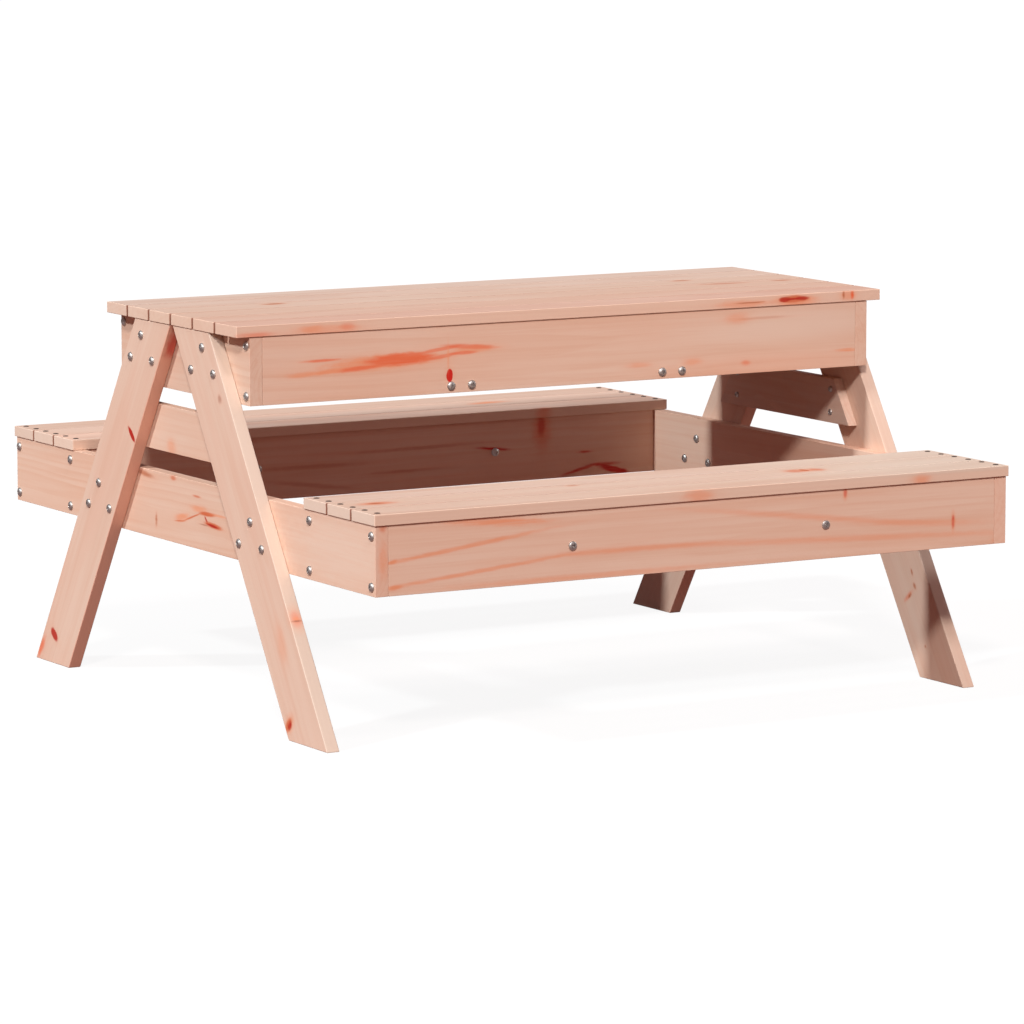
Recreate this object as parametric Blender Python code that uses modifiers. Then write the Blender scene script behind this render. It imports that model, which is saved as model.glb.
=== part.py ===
"""Children's wooden picnic table with a sandbox under its lift-off top.

Metres, +Z up. +X runs along the table, +Y goes across it from the front seat to the back seat.
The origin is on the ground under the middle of the table.
"""

from math import cos, pi, radians, sin, tan

import bmesh
import bpy
from mathutils import Matrix

# Overall sizes
TABLE_HEIGHT = 0.5105  # ground to the top of the lid
SEAT_DROP = 0.202  # top of the lid down to the top of the seats
FRAME_LENGTH = 0.938  # over the outer faces of the end boards
FRAME_WIDTH = 1.029  # over the outer faces of the outer seat boards
BOX_WIDTH = 0.3686  # over the sandbox's long boards
SEAT_WIDTH = 0.1855  # over the slats of one seat

# Timber stock
BOARD_WIDTH = 0.088
BOARD_THICKNESS = 0.018
BATTEN_WIDTH = 0.061
SEAT_SLAT_THICKNESS = 0.014
LID_SLAT_THICKNESS = 0.0145
LID_BATTEN_THICKNESS = 0.014
BRACE_THICKNESS = 0.014
FLOOR_THICKNESS = 0.009
EDGE_RADIUS = 0.002
EDGE_STEPS = 2

# Slats
LID_SLATS = 6
LID_SLAT_GAP = 0.0035
SEAT_SLATS = 3
SEAT_SLAT_GAP = 0.0028

# Overhangs
LID_SIDE_OVERHANG = 0.0022  # past the sandbox's long boards
LID_END_OVERHANG = 0.0015  # past the outer faces of the legs
SEAT_OUTER_OVERHANG = 0.0028  # past the outer seat board
SEAT_INNER_OVERHANG = 0.0032  # past the inner seat board
SEAT_END_OVERHANG = 0.0022  # past the seats' end boards

# Legs
LEG_WIDTH = 0.088  # square across the leg
LEG_THICKNESS = 0.018
LEG_LEAN = radians(32.5)  # from the vertical
LEG_APEX_GAP = 0.005  # between the two legs of an end, at their tops

# Inner boards and battens
FLOOR_BATTEN_SPACING = 0.3208  # between the middles of the two battens under the sandbox floor
CROSS_BOARD_SPACING = 0.377  # between the middles of the two cross boards inside a seat
BRACE_LIFT = 0.003  # the brace sits this much above the middle of its gap
LID_BATTEN_SIDE_CLEARANCE = 0.003
LID_BATTEN_END_CLEARANCE = 0.006
FLOOR_CLEARANCE = 0.0015

# Bolts and screws
SHANK_RADIUS = 0.003
HEAD_RADIUS = 0.006
HEAD_HEIGHT = 0.0036
HEAD_RIM = 0.0008  # straight rim of the head, below its dome
BRACE_HEAD_RADIUS = 0.0042
BRACE_HEAD_HEIGHT = 0.0026
DOME_STEPS = 4
TURNED_STEPS = 16
BOLT_TRIANGLE = 0.0313  # height of the bolt triangle, and half its base
BOX_BOLT_RISE = 0.036  # of the two low bolts, above the sandbox's bottom edge
BRACE_SCREW_SPACING = 0.0314
BRACE_SCREW_BITE = 0.012  # depth of the screw in the leg

# Touching faces stay this far apart
JOINT_GAP = 0.0003

# Places worked out from the sizes above
HALF_LENGTH = FRAME_LENGTH / 2
HALF_WIDTH = FRAME_WIDTH / 2
BOX_HALF_WIDTH = BOX_WIDTH / 2
LID_BOTTOM = TABLE_HEIGHT - LID_SLAT_THICKNESS
BOX_TOP = LID_BOTTOM - JOINT_GAP
BOX_BOTTOM = BOX_TOP - BOARD_WIDTH
SEAT_HEIGHT = TABLE_HEIGHT - SEAT_DROP
SEAT_BOARD_TOP = SEAT_HEIGHT - SEAT_SLAT_THICKNESS - JOINT_GAP
SEAT_BOARD_BOTTOM = SEAT_BOARD_TOP - BOARD_WIDTH
END_INNER_FACE = HALF_LENGTH - BOARD_THICKNESS
LONG_BOARD_END = END_INNER_FACE - JOINT_GAP
LEG_INNER_FACE = HALF_LENGTH + JOINT_GAP
LEG_OUTER_FACE = LEG_INNER_FACE + LEG_THICKNESS
LEG_LEVEL_WIDTH = LEG_WIDTH / cos(LEG_LEAN)  # measured level, across the leaning leg
SEAT_OUTER_EDGE = HALF_WIDTH + SEAT_OUTER_OVERHANG
SEAT_INNER_EDGE = SEAT_OUTER_EDGE - SEAT_WIDTH
INNER_BOARD_FACE = SEAT_INNER_EDGE + SEAT_INNER_OVERHANG
BRACE_MIDDLE = (SEAT_BOARD_TOP + BOX_BOTTOM) / 2 + BRACE_LIFT
FLOOR_BATTEN_TOP = BOX_BOTTOM + BOARD_THICKNESS
BOX_INNER_FACE = BOX_HALF_WIDTH - BOARD_THICKNESS

ENDS = {"left": -1, "right": 1}
SEATS = {"front": -1, "back": 1}


def clear_scene():
    for old in list(bpy.data.objects):
        bpy.data.objects.remove(old, do_unlink=True)


def new_collection(name):
    collection = bpy.data.collections.new(name)
    bpy.context.scene.collection.children.link(collection)
    return collection


def new_material(name, colour, roughness, metallic=0.0):
    material = bpy.data.materials.new(name)
    material.use_nodes = True
    shader = material.node_tree.nodes["Principled BSDF"]
    shader.inputs["Base Color"].default_value = (*colour, 1.0)
    shader.inputs["Roughness"].default_value = roughness
    shader.inputs["Metallic"].default_value = metallic
    material.diffuse_color = (*colour, 1.0)
    return material


clear_scene()
PARTS = new_collection("picnic_table_with_sandbox")
CUTTERS = new_collection("hole_cutters")
SLAT_WOOD = new_material("slat_wood", (0.80, 0.55, 0.43), 0.60)
BOARD_WOOD = new_material("board_wood", (0.67, 0.39, 0.30), 0.62)
LEG_WOOD = new_material("leg_wood", (0.74, 0.50, 0.38), 0.62)
PLYWOOD = new_material("plywood", (0.72, 0.52, 0.36), 0.70)
ZINC = new_material("zinc", (0.62, 0.60, 0.58), 0.32, metallic=1.0)


def new_empty(name, height, parent=None):
    """A group's handle: the whole table, or the lid that lifts off it."""
    empty = bpy.data.objects.new(name, None)
    empty.location.z = height
    empty.parent = parent
    if parent:
        empty.matrix_parent_inverse = Matrix.Translation(-parent.location)
    PARTS.objects.link(empty)
    return empty


TABLE = new_empty("table", 0.0)
LID = new_empty("lid", LID_BOTTOM, parent=TABLE)


def place(name, mesh, material, location, group=TABLE, collection=PARTS):
    """Puts a mesh in the scene at a world position, under its group's empty."""
    obj = bpy.data.objects.new(name, mesh)
    obj.location = location
    obj.parent = group
    obj.matrix_parent_inverse = Matrix.Translation(-group.location)
    if material and not mesh.materials:
        mesh.materials.append(material)
    collection.objects.link(obj)
    return obj


def box_mesh(name, size):
    mesh = bpy.data.meshes.new(name)
    shape = bmesh.new()
    bmesh.ops.create_cube(shape, size=1.0, matrix=Matrix.Diagonal((*size, 1.0)))
    shape.to_mesh(mesh)
    shape.free()
    return mesh


def round_edges(obj):
    bevel = obj.modifiers.new("rounded_edges", "BEVEL")
    bevel.width = EDGE_RADIUS
    bevel.segments = EDGE_STEPS
    bevel.limit_method = "ANGLE"
    return obj


def board(name, x, y, z, material=BOARD_WOOD, group=TABLE):
    """A plank with rounded edges between two limits along each axis."""
    size = (x[1] - x[0], y[1] - y[0], z[1] - z[0])
    middle = ((x[0] + x[1]) / 2, (y[0] + y[1]) / 2, (z[0] + z[1]) / 2)
    return round_edges(place(name, box_mesh(name, size), material, middle, group))


def span(low, high, side=1):
    """The two limits in rising order, mirrored to the negative side where side is -1."""
    return (low, high) if side > 0 else (-high, -low)


def around(middle, width):
    return (middle - width / 2, middle + width / 2)


def slat_middles(count, pitch):
    return [(index - (count - 1) / 2) * pitch for index in range(count)]


def leg_centre_line(height):
    """Distance of a leg's centre line from the table's middle plane, at a height."""
    inner_edge = LEG_APEX_GAP / 2 + (BOX_TOP - height) * tan(LEG_LEAN)
    return inner_edge + LEG_LEVEL_WIDTH / 2


def drill(obj, cutters):
    for number, cutter in enumerate(cutters, 1):
        hole = obj.modifiers.new(f"hole_{number}", "BOOLEAN")
        hole.operation = "DIFFERENCE"
        hole.object = cutter


def hole_cutter(name, x, y, z):
    """A wireframe cylinder along X that cuts a screw hole between the limits x."""
    mesh = bpy.data.meshes.new(name)
    shape = bmesh.new()
    bmesh.ops.create_cone(
        shape,
        cap_ends=True,
        segments=TURNED_STEPS,
        radius1=SHANK_RADIUS + JOINT_GAP,
        radius2=SHANK_RADIUS + JOINT_GAP,
        depth=x[1] - x[0],
    )
    shape.to_mesh(mesh)
    shape.free()
    cutter = place(name, mesh, None, ((x[0] + x[1]) / 2, y, z), collection=CUTTERS)
    cutter.rotation_euler.y = pi / 2
    cutter.hide_render = True
    cutter.display_type = "WIRE"
    return cutter


def head_profile(seat, side, radius=HEAD_RADIUS, height=HEAD_HEIGHT):
    """Outline of a domed head from its crown to its seat, for a head that points to side (+1 or -1)."""
    dome = height - HEAD_RIM
    angles = [pi / 2 * step / DOME_STEPS for step in range(DOME_STEPS + 1)]
    points = [(radius * sin(a), seat + side * (HEAD_RIM + dome * cos(a))) for a in angles]
    return points + [(radius, seat), (SHANK_RADIUS, seat)]


def turned_mesh(name, profile):
    """The outline of a turned piece as a string of edges in the XZ plane, radius along X."""
    mesh = bpy.data.meshes.new(name)
    points = [(radius, 0.0, height) for radius, height in profile]
    mesh.from_pydata(points, [(i, i + 1) for i in range(len(points) - 1)], [])
    return mesh


def turned(name, mesh, x, y, z, points_to):
    """A bolt or screw whose head looks along +X or -X."""
    obj = place(name, mesh, ZINC, (x, y, z))
    obj.rotation_euler.y = points_to * pi / 2
    screw = obj.modifiers.new("turned", "SCREW")
    screw.steps = TURNED_STEPS
    screw.render_steps = TURNED_STEPS
    screw.use_merge_vertices = True
    screw.merge_threshold = 0.00001
    screw.use_smooth_shade = True
    return obj


def bolt_mesh():
    """A through bolt and its sleeve nut, done up: a shank with a domed head at each end."""
    grip = LEG_THICKNESS + JOINT_GAP + BOARD_THICKNESS + 2 * JOINT_GAP
    inner_head = head_profile(-grip / 2, -1)
    return turned_mesh("leg_bolt", head_profile(grip / 2, 1) + inner_head[::-1])


def brace_screw_mesh():
    """A domed screw whose shank goes through the brace and ends in the leg."""
    length = JOINT_GAP + BRACE_THICKNESS + JOINT_GAP + BRACE_SCREW_BITE
    head = head_profile(0.0, 1, BRACE_HEAD_RADIUS, BRACE_HEAD_HEIGHT)
    return turned_mesh("brace_screw", head + [(SHANK_RADIUS, -length), (0.0, -length)])


def make_lid():
    """Six slats held together by three battens that drop inside the sandbox."""
    half_length = LEG_OUTER_FACE + LID_END_OVERHANG
    width = BOX_WIDTH + 2 * LID_SIDE_OVERHANG
    slat_width = (width - (LID_SLATS - 1) * LID_SLAT_GAP) / LID_SLATS
    for number, y in enumerate(slat_middles(LID_SLATS, slat_width + LID_SLAT_GAP), 1):
        board(
            f"lid_slat_{number}",
            (-half_length, half_length),
            around(y, slat_width),
            (LID_BOTTOM, TABLE_HEIGHT),
            SLAT_WOOD,
            LID,
        )
    reach = BOX_INNER_FACE - LID_BATTEN_SIDE_CLEARANCE
    end_batten = END_INNER_FACE - LID_BATTEN_END_CLEARANCE - BATTEN_WIDTH / 2
    batten_top = LID_BOTTOM - JOINT_GAP
    for name, x in (("left", -end_batten), ("middle", 0.0), ("right", end_batten)):
        board(
            f"lid_batten_{name}",
            around(x, BATTEN_WIDTH),
            (-reach, reach),
            (batten_top - LID_BATTEN_THICKNESS, batten_top),
            BOARD_WOOD,
            LID,
        )


def make_sandbox():
    """Four boards on edge, and a plywood floor on two battens between the long boards."""
    height = (BOX_BOTTOM, BOX_TOP)
    for seat, side in SEATS.items():
        across = span(BOX_INNER_FACE, BOX_HALF_WIDTH, side)
        board(f"sandbox_{seat}_board", (-LONG_BOARD_END, LONG_BOARD_END), across, height)
    reach = BOX_INNER_FACE - JOINT_GAP
    for end, side in ENDS.items():
        middle = side * FLOOR_BATTEN_SPACING / 2
        thickness = (BOX_BOTTOM, FLOOR_BATTEN_TOP)
        board(f"sandbox_floor_batten_{end}", around(middle, BATTEN_WIDTH), (-reach, reach), thickness)
    floor_x = END_INNER_FACE - FLOOR_CLEARANCE
    floor_y = BOX_INNER_FACE - FLOOR_CLEARANCE
    floor_bottom = FLOOR_BATTEN_TOP + JOINT_GAP
    floor_z = (floor_bottom, floor_bottom + FLOOR_THICKNESS)
    board("sandbox_floor", (-floor_x, floor_x), (-floor_y, floor_y), floor_z, PLYWOOD)


def make_sandbox_end(end, side):
    across = (-BOX_HALF_WIDTH, BOX_HALF_WIDTH)
    along = span(END_INNER_FACE, HALF_LENGTH, side)
    return board(f"sandbox_end_board_{end}", along, across, (BOX_BOTTOM, BOX_TOP))


def make_leg(name, end_side, seat_side):
    """A leaning board, cut level at its foot and under the lid: an upright box, sheared sideways."""
    mesh = box_mesh(name, (LEG_THICKNESS, LEG_LEVEL_WIDTH, BOX_TOP))
    shear = Matrix.Identity(4)
    shear[1][2] = -seat_side * tan(LEG_LEAN)
    mesh.transform(shear)
    middle_height = BOX_TOP / 2
    x = end_side * (LEG_INNER_FACE + LEG_THICKNESS / 2)
    y = seat_side * leg_centre_line(middle_height)
    return round_edges(place(name, mesh, LEG_WOOD, (x, y, middle_height)))


def make_brace(end, side):
    """A short board across an end's two legs, on their inner faces, its ends cut along their middles."""
    half_height = BATTEN_WIDTH / 2
    bottom_half = leg_centre_line(BRACE_MIDDLE - half_height)
    top_half = leg_centre_line(BRACE_MIDDLE + half_height)
    mesh = box_mesh(f"leg_brace_{end}", (BRACE_THICKNESS, 2 * bottom_half, BATTEN_WIDTH))
    for vertex in mesh.vertices:
        if vertex.co.z > 0:
            vertex.co.y *= top_half / bottom_half
    x = side * (HALF_LENGTH - BRACE_THICKNESS / 2)
    return round_edges(place(f"leg_brace_{end}", mesh, BOARD_WOOD, (x, 0.0, BRACE_MIDDLE)))


def make_brace_screws(end, side, seat, leg, brace, mesh):
    """Two screws, one above the other, from the brace's inner face into a leg."""
    seat_x = HALF_LENGTH - BRACE_THICKNESS - JOINT_GAP
    tip_x = LEG_INNER_FACE + BRACE_SCREW_BITE + JOINT_GAP
    y = SEATS[seat] * (leg_centre_line(BRACE_MIDDLE) - LEG_LEVEL_WIDTH / 4)
    cutters = []
    for level, offset in (("lower", -0.5), ("upper", 0.5)):
        z = BRACE_MIDDLE + offset * BRACE_SCREW_SPACING
        name = f"brace_screw_{end}_{seat}_{level}"
        turned(name, mesh, side * seat_x, y, z, -side)
        cutters.append(hole_cutter(f"{name}_hole", span(seat_x, tip_x, side), y, z))
    drill(leg, cutters)
    drill(brace, cutters)


def make_leg_bolts(end, side, seat, leg, end_board, mesh):
    """Three bolts in a triangle, one above two, through a leg and the sandbox's end board."""
    low = BOX_BOTTOM + BOX_BOLT_RISE
    middle = leg_centre_line(low)
    places = {
        "top": (middle, low + BOLT_TRIANGLE),
        "inner": (middle - BOLT_TRIANGLE, low),
        "outer": (middle + BOLT_TRIANGLE, low),
    }
    x = (END_INNER_FACE + LEG_OUTER_FACE) / 2
    hole = span(END_INNER_FACE - JOINT_GAP, LEG_OUTER_FACE + JOINT_GAP, side)
    cutters = []
    for spot, (out, z) in places.items():
        name = f"leg_bolt_{end}_{seat}_{spot}"
        y = SEATS[seat] * out
        turned(name, mesh, side * x, y, z, side)
        cutters.append(hole_cutter(f"{name}_hole", hole, y, z))
    drill(leg, cutters)
    drill(end_board, cutters)


def make_trestles():
    """At each end, two legs that meet under the lid, the sandbox's end board and a brace."""
    bolt = bolt_mesh()
    screw = brace_screw_mesh()
    for end, side in ENDS.items():
        end_board = make_sandbox_end(end, side)
        brace = make_brace(end, side)
        for seat, seat_side in SEATS.items():
            leg = make_leg(f"leg_{end}_{seat}", side, seat_side)
            make_leg_bolts(end, side, seat, leg, end_board, bolt)
            make_brace_screws(end, side, seat, leg, brace, screw)


def make_seat_frame():
    """Two full-width end boards, with two long boards on edge between them under each seat."""
    height = (SEAT_BOARD_BOTTOM, SEAT_BOARD_TOP)
    long_boards = (-LONG_BOARD_END, LONG_BOARD_END)
    inner_board_back = INNER_BOARD_FACE + BOARD_THICKNESS
    outer_board_back = HALF_WIDTH - BOARD_THICKNESS
    for end, side in ENDS.items():
        along = span(END_INNER_FACE, HALF_LENGTH, side)
        board(f"seat_end_board_{end}", along, (-HALF_WIDTH, HALF_WIDTH), height)
    for seat, side in SEATS.items():
        outer = span(outer_board_back, HALF_WIDTH, side)
        inner = span(INNER_BOARD_FACE, inner_board_back, side)
        board(f"{seat}_seat_outer_board", long_boards, outer, height)
        board(f"{seat}_seat_inner_board", long_boards, inner, height)
        between = span(inner_board_back + JOINT_GAP, outer_board_back - JOINT_GAP, side)
        for end, end_side in ENDS.items():
            along = around(end_side * CROSS_BOARD_SPACING / 2, BOARD_THICKNESS)
            board(f"{seat}_seat_cross_board_{end}", along, between, height)


def make_seat_slats():
    slat_width = (SEAT_WIDTH - (SEAT_SLATS - 1) * SEAT_SLAT_GAP) / SEAT_SLATS
    seat_middle = (SEAT_INNER_EDGE + SEAT_OUTER_EDGE) / 2
    half_length = HALF_LENGTH + SEAT_END_OVERHANG
    for seat, side in SEATS.items():
        for number, offset in enumerate(slat_middles(SEAT_SLATS, slat_width + SEAT_SLAT_GAP), 1):
            board(
                f"{seat}_seat_slat_{number}",
                (-half_length, half_length),
                around(side * (seat_middle + offset), slat_width),
                (SEAT_HEIGHT - SEAT_SLAT_THICKNESS, SEAT_HEIGHT),
                SLAT_WOOD,
            )


make_lid()
make_sandbox()
make_trestles()
make_seat_frame()
make_seat_slats()
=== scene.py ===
"""Looks of the children's picnic table with a sandbox under its lift-off top.

Metres, +Z up. +X runs along the table and +Y goes across it, from the front seat to the back seat.
"""

from collections import defaultdict, namedtuple
from math import cos, pi, radians, sin, tan
from random import Random

import bmesh
import bpy
from mathutils import Matrix, Vector


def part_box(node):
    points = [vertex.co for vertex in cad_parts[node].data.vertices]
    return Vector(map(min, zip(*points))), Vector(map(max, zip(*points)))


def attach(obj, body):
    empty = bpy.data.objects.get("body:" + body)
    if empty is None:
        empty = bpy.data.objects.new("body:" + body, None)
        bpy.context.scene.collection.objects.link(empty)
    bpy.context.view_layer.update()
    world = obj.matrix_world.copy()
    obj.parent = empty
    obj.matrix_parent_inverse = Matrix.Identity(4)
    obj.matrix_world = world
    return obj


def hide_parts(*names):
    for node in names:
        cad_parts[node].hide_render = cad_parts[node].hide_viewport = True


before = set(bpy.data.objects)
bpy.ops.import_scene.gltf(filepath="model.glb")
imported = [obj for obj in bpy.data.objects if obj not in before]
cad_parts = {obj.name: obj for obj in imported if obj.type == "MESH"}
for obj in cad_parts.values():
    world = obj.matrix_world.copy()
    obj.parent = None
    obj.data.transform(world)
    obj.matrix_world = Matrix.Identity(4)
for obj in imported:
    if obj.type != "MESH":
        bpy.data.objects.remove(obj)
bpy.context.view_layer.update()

# Camera
CAMERA_PLACE = (-3.7019, -6.4294, 1.2463)
CAMERA_HEADING = radians(30.08)  # from +Y towards +X
CAMERA_DIP = radians(7.892)
CAMERA_LENS = 195.95
CAMERA_REACH = 200.0
SENSOR_WIDTH = 36.0

# Lamps: the heading, from -Y towards +X, and the elevation that the light comes from, the share of
# full daylight that it gives to a surface square to it, its width in the sky, which softens its
# shadows, and its colour
Lamp = namedtuple("Lamp", "heading elevation share width colour")
LAMPS = {
    "key_left": Lamp(radians(-90), radians(36.5), 0.665, radians(4), (0.95, 1.02, 1.04)),
    "key_front": Lamp(radians(-34), radians(35.3), 0.65, radians(6), (1.0, 0.93, 0.89)),
    "key_top": Lamp(radians(-10), radians(48), 0.22, radians(8), (1.1, 1.0, 1.0)),
    "fill_right": Lamp(radians(80), radians(20), 0.09, radians(20), (1.0, 1.0, 1.0)),
}
LAMP_DISTANCE = 4.0

# Sky and floor
WHITE = (1.0, 1.0, 1.0)
SKY_SHARE = 0.275
SKY_TINT = (0.95, 0.67, 0.69)
MIRRORED_SKY = 0.22
FLOOR_GREY = (0.11, 0.11, 0.11)  # the floor's own colour for the camera
FLOOR_BOUNCE = (0.19, 0.075, 0.06)  # what the floor throws back at the object
FLOOR_GLOW = 0.91
MIRRORED_FLOOR = 0.12
FLOOR_RADIUS = 60.0
FLOOR_SIDES = 96

# Timber
EDGE_RADII = {"slat_wood": 0.0008, "board_wood": 0.0006, "leg_wood": 0.0012, "plywood": 0.0004}
EDGE_STEPS = 3
LEG_LEAN = radians(32.5)  # from upright
FLAT_FACE_WEIGHT = 100
LOG_SHIFTS = (5.0, 60.0)  # how far along the log a board is cut, so that no two look the same

# Fasteners: a head's radius, the height of its rim and of its dome over the face, the reach, width
# and depth of the cross cut into it, and its shank's radius and length
Fastener = namedtuple("Fastener", "radius rim height reach slot depth shank length")
PAN_HEAD = Fastener(0.006, 0.0007, 0.0036, 0.0037, 0.0014, 0.0019, 0.003, 0.034)
LOW_HEAD = PAN_HEAD._replace(height=0.0027)
BRACE_HEAD = Fastener(0.0042, 0.0005, 0.0026, 0.0027, 0.0011, 0.0014, 0.003, 0.026)
SLAT_HEAD = Fastener(0.0038, 0.0003, 0.001, 0.0022, 0.0009, 0.0007, 0.002, 0.022)
CUTTER_TOP = 1.2  # the reach of a cross's cutter at its top, as a part of the cross's reach
CUTTER_BOTTOM = 0.6
HEAD_STEPS = 32
DOME_STEPS = 6
SHANK_STEPS = 16
SAME_PLACE = 1e-6  # points closer than this are merged
SHARP_ANGLE = radians(35)

# Where the fasteners are
BOLT_TRIANGLE = 0.0313  # from a crossing's middle to its two lower bolts, and up to its top one
UPPER_BOLTS = (0.0878, 0.4437)  # across and height of the middle of a crossing's lower pair
LOWER_BOLTS = (0.2187, 0.234)
BRACE_SCREW_ACROSS = 0.1186
BRACE_SCREW_HEIGHTS = (0.3383, 0.3697)
SANDBOX_CORNER_HEIGHTS = (0.4195, 0.484)
SEAT_CORNER_HEIGHTS = (0.218, 0.281)
BATTEN_SCREW_SPREAD = 0.0153
BATTEN_SCREW_HEIGHT = 0.417
CROSS_SCREW_HEIGHT = 0.25
SLAT_SCREW_SPREAD = 0.016
LID_SCREW_PARTS = (0.25, 0.75)  # of the stretch where a slat lies on a batten
FLOOR_SCREWS = 5

SEATS = {"front": -1, "back": 1}
ENDS = {"left": -1, "right": 1}


def opaque(colour):
    """A colour of three numbers with its alpha. A socket stays as it is."""
    return (*colour, 1.0) if isinstance(colour, tuple) else colour


class Nodes:
    """Short calls that add and join shader nodes in one tree."""

    def __init__(self, tree):
        self.tree = tree

    def join(self, value, socket):
        """Links an output to the socket, or sets the socket to a value."""
        if isinstance(value, bpy.types.NodeSocket):
            self.tree.links.new(value, socket)
        else:
            socket.default_value = value

    def add(self, kind, inputs=(), **settings):
        """Adds a node with its settings, and sets or joins its inputs in order or by name."""
        node = self.tree.nodes.new(f"ShaderNode{kind}")
        for name, value in settings.items():
            setattr(node, name, value)
        pairs = inputs.items() if isinstance(inputs, dict) else enumerate(inputs)
        for key, value in pairs:
            self.join(value, node.inputs[key])
        return node

    def call(self, kind, inputs, output=0, **settings):
        """Adds a node and gives one of its outputs."""
        return self.add(kind, inputs, **settings).outputs[output]

    def math(self, operation, *inputs):
        return self.call("Math", inputs, operation=operation)

    def vector(self, operation, *inputs, output=0):
        return self.call("VectorMath", inputs, output, operation=operation)

    def noise(self, place, scale, detail=2.0, roughness=0.5, output=0):
        """Noise with one scale, or with a scale for each axis."""
        if isinstance(scale, tuple):
            place = self.vector("MULTIPLY", place, scale)
            scale = 1.0
        inputs = {"Vector": place, "Scale": scale, "Detail": detail, "Roughness": roughness}
        return self.call("TexNoise", inputs, output, noise_dimensions="3D")

    def wave(self, place, scale, detail):
        """Noise around zero for each of the three axes."""
        return self.vector("SUBTRACT", self.noise(place, scale, detail, output=1), (0.5, 0.5, 0.5))

    def ramp(self, value, low, high, start=0.0, end=1.0):
        """A smooth step from start to end, as the value goes from low to high."""
        inputs = {"Value": value, "From Min": low, "From Max": high, "To Min": start, "To Max": end}
        return self.call("MapRange", inputs, interpolation_type="SMOOTHSTEP")

    def blend(self, factor, first, second):
        """The second colour over the first one, by the factor."""
        # The node's first colour is input 6, its second one input 7, and the mixed one output 2
        inputs = {0: factor, 6: opaque(first), 7: opaque(second)}
        return self.call("Mix", inputs, output=2, data_type="RGBA")


def new_group(name, vectors, numbers, results):
    """An empty shader group with the named sockets, its Nodes helper and its inner ends."""
    tree = bpy.data.node_groups.new(name, "ShaderNodeTree")
    kinds = (("INPUT", "Vector", vectors), ("INPUT", "Float", numbers), ("OUTPUT", "Float", results))
    for side, kind, sockets in kinds:
        for socket in sockets:
            tree.interface.new_socket(socket, in_out=side, socket_type=f"NodeSocket{kind}")
    given = tree.nodes.new("NodeGroupInput").outputs
    result = tree.nodes.new("NodeGroupOutput").inputs
    return Nodes(tree), given, result


def new_material(name):
    """A material, the Nodes helper of its tree, and its shader."""
    material = bpy.data.materials.new(name)
    material.use_nodes = True
    return material, Nodes(material.node_tree), material.node_tree.nodes["Principled BSDF"]


# Patterns in the wood: the scale of their noise along the grain and in the two directions across it
SLOW_WAVES = (1.3, 7.0, 7.0)
QUICK_WAVES = (7.0, 34.0, 34.0)
RING_STRENGTHS = (2.5, 26.0, 26.0)
FIBRES = (14.0, 620.0, 620.0)
STREAKS = (2.2, 150.0, 150.0)
PATCHES = (3.0, 18.0, 18.0)
RIPPLES = (55.0, 160.0, 160.0)
STRANDS = (16.0, 420.0, 420.0)

# The values of a pattern's noise between which it goes from none to full
RING_STRENGTH_RANGE = (0.25, 0.75)
FIBRE_RANGE = (0.5, 0.85)
STREAK_RANGE = (0.4, 0.75)
PATCH_RANGE = (0.35, 0.7)
STRAND_RANGE = (0.38, 0.62)

# Growth rings: how far the waves bend them, how fast and how much their widths change, the parts of
# a ring where late wood starts and where it is darkest, how slowly it darkens, and the faintest ring
SLOW_BEND = 0.022
QUICK_BEND = 0.0028
WIDTH_CHANGES = 0.45
UNEVENNESS = 2.4
LATE_START = 0.15
LATE_PEAK = 0.93
LATE_CURVE = 2.2
FAINTEST_RING = 0.25

# A mark's halo and its push on the rings: how far they reach, in half sizes of the mark
HALO_START = 0.6
HALO_END = 2.6
PUSH_END = 5.0
PUSH_CURVE = 2.0

# The wood's finish
FIBRE_SHARE = 0.25
SPECULAR = 0.25
ROUGHNESS = 0.56
FIBRE_ROUGHNESS = 0.16
LATE_ROUGHNESS = -0.08
LATE_RELIEF = 0.5
RELIEF_STRENGTH = 0.12
RELIEF_HEIGHT = 0.0004


def make_ring_group():
    """Growth rings and fibres of a trunk whose pith lies along the X axis of Place."""
    nodes, given, result = new_group(
        "ring_grain", ("Place",), ("Push", "Pitch"), ("Late", "Fibre", "Streak", "Tone")
    )
    place = given["Place"]
    bent = place
    for waves, bend in ((SLOW_WAVES, SLOW_BEND), (QUICK_WAVES, QUICK_BEND)):
        bent = nodes.vector("MULTIPLY_ADD", nodes.wave(place, waves, 1.0), (0.0, bend, bend), bent)
    radius = nodes.vector("LENGTH", nodes.vector("MULTIPLY", bent, (0.0, 1.0, 1.0)), output=1)
    radius = nodes.math("ADD", radius, given["Push"])
    years = nodes.math("DIVIDE", radius, given["Pitch"])
    row = nodes.call("CombineXYZ", (years, 0.0, 0.0))
    years = nodes.math("MULTIPLY_ADD", nodes.noise(row, WIDTH_CHANGES, 1.0), UNEVENNESS, years)
    part = nodes.math("FRACT", years)
    rise = nodes.ramp(part, LATE_START, LATE_PEAK)
    fall = nodes.ramp(part, LATE_PEAK, 1.0, 1.0, 0.0)
    late = nodes.math("MULTIPLY", nodes.math("POWER", rise, LATE_CURVE), fall)
    strength = nodes.ramp(nodes.noise(place, RING_STRENGTHS), *RING_STRENGTH_RANGE, FAINTEST_RING)
    nodes.join(nodes.math("MULTIPLY", late, strength), result["Late"])
    nodes.join(nodes.noise(place, FIBRES, roughness=0.6), result["Fibre"])
    nodes.join(nodes.noise(bent, STREAKS, 3.0, 0.6), result["Streak"])
    nodes.join(nodes.noise(place, PATCHES, 3.0, 0.55), result["Tone"])
    return nodes.tree


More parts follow.
